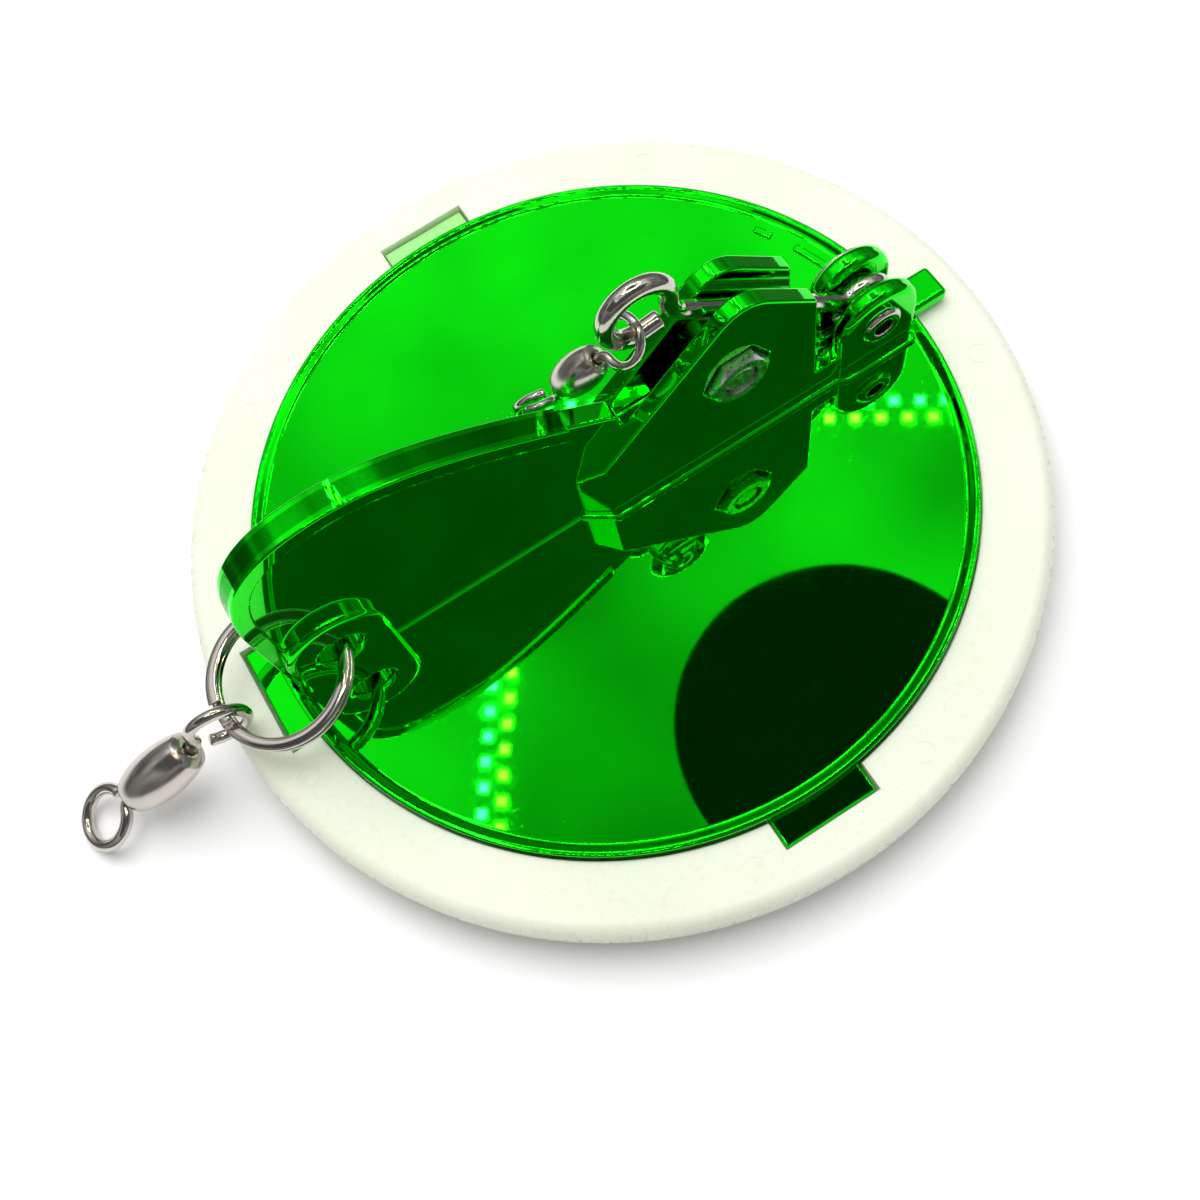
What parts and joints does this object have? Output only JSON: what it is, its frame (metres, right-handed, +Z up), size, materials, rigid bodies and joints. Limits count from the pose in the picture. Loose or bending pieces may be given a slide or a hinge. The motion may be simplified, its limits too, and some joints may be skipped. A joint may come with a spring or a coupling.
{
  "type": "directional trolling diver",
  "caption": "Round planing disc with a keel fin, a hinged wire release arm, chained swivels, a weighted turning base plate and a clip-on outer ring that deepens its dive.",
  "frame": {"origin": "centre of the underside of the whole object's bounding box, on the flat bottom of the base plate", "axes": "+X towards the end where the release arm pivots, -X along the trailing leader swivel, +Z up through the disc towards the fin's crest, +Y to the tension screw's head"},
  "size_m": [0.152, 0.1254, 0.0524],
  "materials": {
    "plated_plastic": "mirror-bright green metallised coating",
    "pale_plastic": "smooth, slightly translucent glow plastic",
    "bright_nickel": "bright nickel plate",
    "satin_nickel": "satin nickel plate",
    "plain_steel": "zinc plated, lightly dulled",
    "yellow_brass": "turned brass",
    "grey_weight": "cast grey metal"
  },
  "bodies": {
    "ring": {"outer_ring": "pale_plastic"},
    "disc": {"disc_body": "plated_plastic", "pivot_rivet": "bright_nickel", "tension_nut": "plain_steel", "base_screw": "plain_steel", "base_washer": "plain_steel", "threaded_insert": "yellow_brass"},
    "arm": {"release_arm": "bright_nickel"},
    "washer": {"tension_washer": "plain_steel"},
    "screw": {"tension_screw": "plain_steel"},
    "base": {"base_plate": "plated_plastic", "ballast_weight": "grey_weight", "ballast_rivet_1": "plain_steel", "ballast_rivet_2": "plain_steel"},
    "leader_ring": {"split_ring": "bright_nickel"},
    "leader_eye": {"leader_swivel_upper_eye": "bright_nickel"},
    "leader_barrel": {"leader_swivel_barrel": "satin_nickel"},
    "leader_end": {"leader_swivel_lower_eye": "bright_nickel"},
    "line_eye": {"line_swivel_upper_eye": "bright_nickel"},
    "line_barrel": {"line_swivel_barrel": "satin_nickel"},
    "line_end": {"line_swivel_lower_eye": "bright_nickel"}
  },
  "joints": [
    {"name": "disc_lift", "type": "slide", "parent": "ring", "child": "disc", "axis": [0, 0, 1], "range_m": [0, 0.014]},
    {"name": "arm_release", "type": "hinge", "parent": "disc", "child": "arm", "pos_m": [0.05726, 0, 0.0179], "axis": [0, 1, 0], "range_deg": [0, 130]},
    {"name": "washer_travel", "type": "slide", "parent": "disc", "child": "washer", "axis": [0, 1, 0], "range_m": [0, 0.0016]},
    {"name": "screw_turn", "type": "hinge", "parent": "washer", "child": "screw", "pos_m": [0.03386, 0, 0.0274], "axis": [0, 1, 0], "range_deg": [0, 720]},
    {"name": "base_turn", "type": "hinge", "parent": "disc", "child": "base", "pos_m": [0.01326, 0, 0], "axis": [0, 0, 1], "range_deg": [-45, 45]},
    {"name": "leader_ring_swing", "type": "hinge", "parent": "disc", "child": "leader_ring", "pos_m": [-0.02894, 0, 0.017], "axis": [-0.0872, 0.9962, 0], "range_deg": [0, 45]},
    {"name": "leader_link", "type": "hinge", "parent": "leader_ring", "child": "leader_eye", "pos_m": [-0.04794, -0.00166, 0.01435], "axis": [0.0872, 0.9962, 0], "range_deg": [0, 80]},
    {"name": "leader_barrel_spin", "type": "hinge", "parent": "leader_eye", "child": "leader_barrel", "pos_m": [-0.04794, -0.00166, 0.01435], "axis": [-0.899, 0.0787, -0.4308], "continuous": true},
    {"name": "leader_end_spin", "type": "hinge", "parent": "leader_barrel", "child": "leader_end", "pos_m": [-0.04794, -0.00166, 0.01435], "axis": [-0.899, 0.0787, -0.4308], "continuous": true},
    {"name": "line_link", "type": "hinge", "parent": "arm", "child": "line_eye", "pos_m": [0.02093, 0, 0.04285], "axis": [0.866, 0, -0.5], "range_deg": [0, 100]},
    {"name": "line_barrel_spin", "type": "hinge", "parent": "line_eye", "child": "line_barrel", "pos_m": [0.02093, 0, 0.04285], "axis": [-0.6187, 0.3393, -0.7085], "continuous": true},
    {"name": "line_end_spin", "type": "hinge", "parent": "line_barrel", "child": "line_end", "pos_m": [0.02093, 0, 0.04285], "axis": [-0.6187, 0.3393, -0.7085], "continuous": true}
  ],
  "couplings": [
    {"joint": "screw_turn", "follows": "washer_travel", "rad_per_m": 7853.9}
  ]
}
